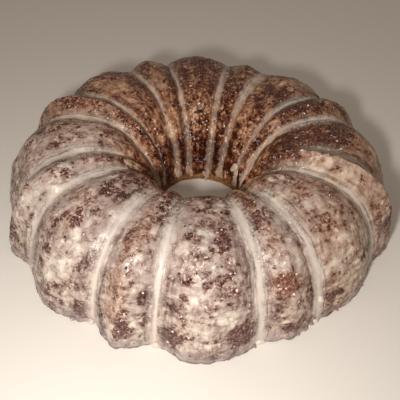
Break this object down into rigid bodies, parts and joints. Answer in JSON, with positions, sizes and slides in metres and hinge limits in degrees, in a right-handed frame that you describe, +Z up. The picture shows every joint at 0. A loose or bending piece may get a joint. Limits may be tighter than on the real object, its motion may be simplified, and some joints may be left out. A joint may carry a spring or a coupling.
{
  "type": "bundt cake",
  "caption": "Whole ring cake with alternating broad lobes and narrow ridges round a funnel-shaped centre hole, thinly glazed, standing on its flat base.",
  "frame": {"origin": "on the flat base, under the middle of the cake's outline", "axes": "+Z up through the hole; a broad lobe faces each of -Y, +X, +Y and -X, and the front is -Y"},
  "size_m": [0.2552, 0.2548, 0.0634],
  "materials": {
    "crust": "dark brown baked crust, moist, satin",
    "glaze": "thin cream sugar glaze, set, slightly translucent"
  },
  "bodies": {
    "root": {"bundt_cake": "crust"}
  },
  "joints": []
}
